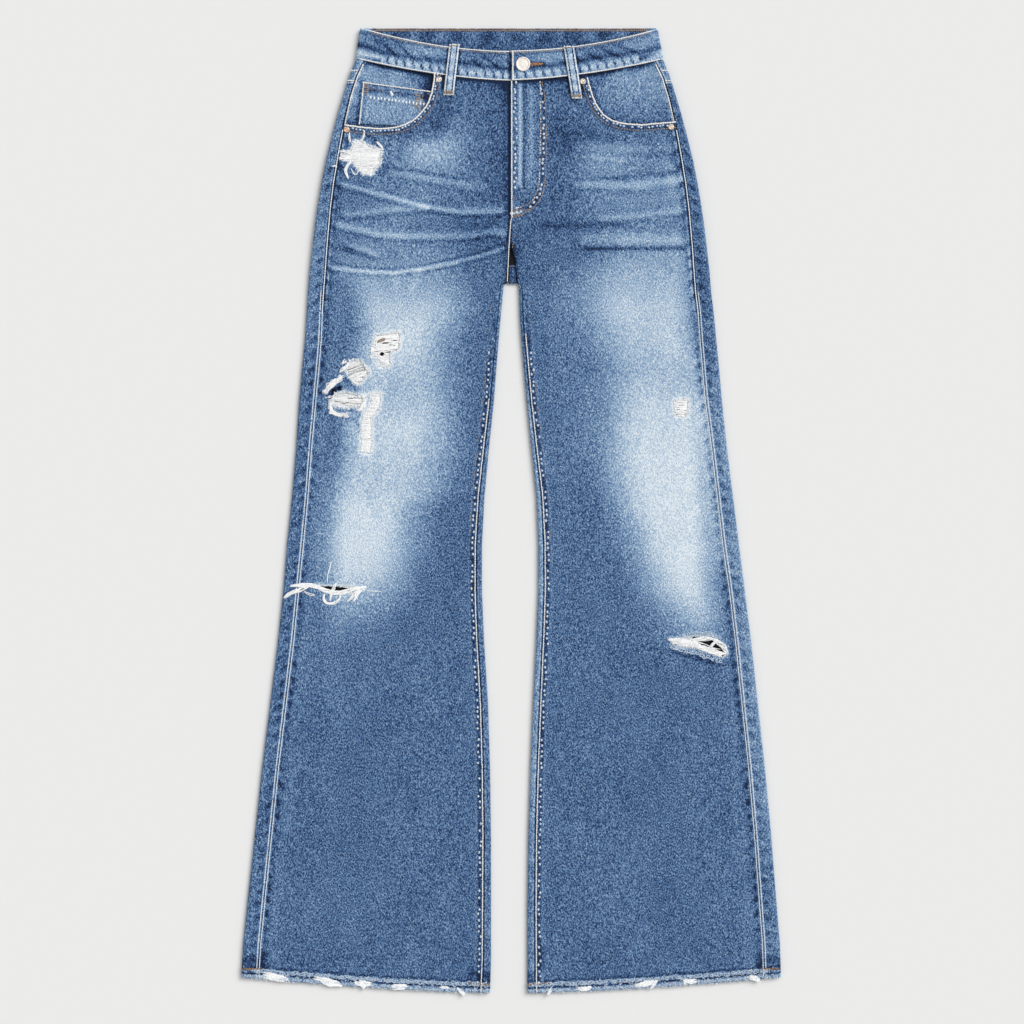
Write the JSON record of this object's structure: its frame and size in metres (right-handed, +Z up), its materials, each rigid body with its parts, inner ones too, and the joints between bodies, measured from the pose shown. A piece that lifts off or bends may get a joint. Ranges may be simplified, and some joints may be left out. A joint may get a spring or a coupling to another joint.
{
  "type": "wide leg jeans, laid flat",
  "caption": "Full-length wide leg denim jeans, buttoned and laid flat on their back, with front pockets, a coin pocket, worn patches, a ripped knee and frayed hems.",
  "frame": {"origin": "on the surface the jeans lie on, under the middle of their outline", "axes": "+Y up the garment from the hems to the waistband, +Z up from the surface and out of the front, +X to the wearer's left, which is the viewer's right"},
  "size_m": [0.6156, 1.1055, 0.0117],
  "materials": {
    "front_panel_right": "washed denim",
    "front_panel_left": "washed denim",
    "back_panel_right": "washed denim",
    "back_panel_left": "washed denim",
    "yoke_right": "washed denim",
    "yoke_left": "washed denim",
    "waistband": "washed denim",
    "pocket_facing_right": "washed denim",
    "pocket_facing_left": "washed denim",
    "coin_pocket": "washed denim",
    "fly_underlap": "washed denim",
    "belt_loop_front_right": "washed denim",
    "belt_loop_front_left": "washed denim",
    "belt_loop_back_right": "washed denim",
    "belt_loop_back_centre": "washed denim",
    "belt_loop_back_left": "washed denim",
    "back_pocket_right": "washed denim",
    "back_pocket_left": "washed denim",
    "waist_button": "satin",
    "rivet_right_upper": "aged copper colour",
    "rivet_right_side": "aged copper colour",
    "rivet_left_upper": "aged copper colour",
    "rivet_left_side": "aged copper colour",
    "weft_hip_right": "bare cotton threads",
    "weft_thigh_right_1": "bare cotton threads",
    "weft_thigh_right_2": "bare cotton threads",
    "weft_thigh_right_3": "bare cotton threads",
    "weft_thigh_right_4": "bare cotton threads",
    "weft_thigh_left": "bare cotton threads",
    "weft_knee_left": "bare cotton threads",
    "knee_threads_right": "bare cotton threads",
    "hem_fray_right": "frayed cotton",
    "hem_fray_left": "frayed cotton"
  },
  "bodies": {
    "root": {"front_panel_right": "front_panel_right", "front_panel_left": "front_panel_left", "back_panel_right": "back_panel_right", "back_panel_left": "back_panel_left", "yoke_right": "yoke_right", "yoke_left": "yoke_left", "waistband": "waistband", "pocket_facing_right": "pocket_facing_right", "pocket_facing_left": "pocket_facing_left", "coin_pocket": "coin_pocket", "fly_underlap": "fly_underlap", "belt_loop_front_right": "belt_loop_front_right", "belt_loop_front_left": "belt_loop_front_left", "belt_loop_back_right": "belt_loop_back_right", "belt_loop_back_centre": "belt_loop_back_centre", "belt_loop_back_left": "belt_loop_back_left", "back_pocket_right": "back_pocket_right", "back_pocket_left": "back_pocket_left", "waist_button": "waist_button", "rivet_right_upper": "rivet_right_upper", "rivet_right_side": "rivet_right_side", "rivet_left_upper": "rivet_left_upper", "rivet_left_side": "rivet_left_side", "weft_hip_right": "weft_hip_right", "weft_thigh_right_1": "weft_thigh_right_1", "weft_thigh_right_2": "weft_thigh_right_2", "weft_thigh_right_3": "weft_thigh_right_3", "weft_thigh_right_4": "weft_thigh_right_4", "weft_thigh_left": "weft_thigh_left", "weft_knee_left": "weft_knee_left", "knee_threads_right": "knee_threads_right", "hem_fray_right": "hem_fray_right", "hem_fray_left": "hem_fray_left"}
  },
  "joints": []
}
